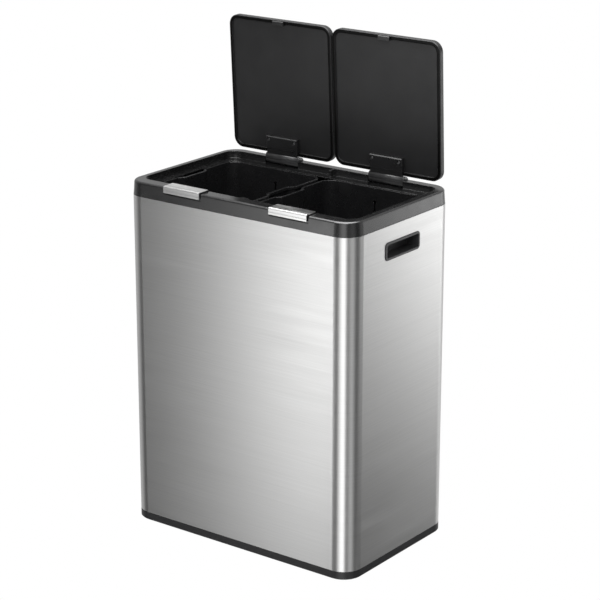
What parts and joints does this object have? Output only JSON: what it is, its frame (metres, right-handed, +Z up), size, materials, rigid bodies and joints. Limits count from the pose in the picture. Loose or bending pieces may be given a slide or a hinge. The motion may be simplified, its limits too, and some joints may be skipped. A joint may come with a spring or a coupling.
{
  "type": "double recycling bin",
  "caption": "Tall stainless-steel recycling bin with two sprung lids, two lift-out inner buckets, touch bars and recessed side handles.",
  "frame": {"origin": "centre of the footprint, on the floor", "axes": "+X to the user's right, +Y to the back, where the lids are hinged, +Z up"},
  "size_m": [0.5074, 0.3156, 0.9239],
  "materials": {
    "stainless_sheet": "brushed",
    "stainless_bar": "satin",
    "pin_steel": "satin",
    "rim_plastic": "satin",
    "base_plastic": "matte",
    "handle_plastic": "satin",
    "lid_plastic": "matte",
    "hinge_plastic": "satin",
    "bucket_plastic": "satin",
    "slider_plastic": "satin",
    "rubber": "matte"
  },
  "bodies": {
    "bin": {"base_tray": "base_plastic", "base_feet": "rubber", "body_shell": "stainless_sheet", "rim_frame": "rim_plastic", "lid_stops": "rubber", "handle_cup_left": "handle_plastic", "hinge_pin_left": "pin_steel", "hinge_spring_left": "pin_steel", "bar_spring_left": "pin_steel", "handle_cup_right": "handle_plastic", "hinge_pin_right": "pin_steel", "hinge_spring_right": "pin_steel", "bar_spring_right": "pin_steel"},
    "lid_left": {"lid_panel_left": "lid_plastic", "lid_skin_left": "stainless_sheet", "hinge_bracket_left": "hinge_plastic", "bracket_screws_left": "pin_steel", "striker_left": "hinge_plastic"},
    "bucket_left": {"bucket_left": "bucket_plastic"},
    "bar_left": {"touch_bar_left": "stainless_bar", "bar_slider_left": "slider_plastic"},
    "lid_right": {"lid_panel_right": "lid_plastic", "lid_skin_right": "stainless_sheet", "hinge_bracket_right": "hinge_plastic", "bracket_screws_right": "pin_steel", "striker_right": "hinge_plastic"},
    "bucket_right": {"bucket_right": "bucket_plastic"},
    "bar_right": {"touch_bar_right": "stainless_bar", "bar_slider_right": "slider_plastic"}
  },
  "joints": [
    {"name": "lid_left_hinge", "type": "hinge", "parent": "bin", "child": "lid_left", "pos_m": [-0.11835, 0.145, 0.6564], "axis": [-1, 0, 0], "range_deg": [-87, 0], "stiffness_Nm_per_rad": 0.8, "springref_deg": 17.19},
    {"name": "bar_left_press", "type": "slide", "parent": "bin", "child": "bar_left", "axis": [0, 0, -1], "range_m": [0, 0.003], "stiffness_N_per_m": 600, "springref_m": -0.004, "deforming": ["bar_spring_left"]},
    {"name": "bucket_left_lift", "type": "slide", "parent": "bin", "child": "bucket_left", "axis": [0, 0, 1], "range_m": [0, 0.64]},
    {"name": "lid_right_hinge", "type": "hinge", "parent": "bin", "child": "lid_right", "pos_m": [0.11835, 0.145, 0.6564], "axis": [-1, 0, 0], "range_deg": [-87, 0], "stiffness_Nm_per_rad": 0.8, "springref_deg": 17.19},
    {"name": "bar_right_press", "type": "slide", "parent": "bin", "child": "bar_right", "axis": [0, 0, -1], "range_m": [0, 0.003], "stiffness_N_per_m": 600, "springref_m": -0.004, "deforming": ["bar_spring_right"]},
    {"name": "bucket_right_lift", "type": "slide", "parent": "bin", "child": "bucket_right", "axis": [0, 0, 1], "range_m": [0, 0.64]}
  ]
}
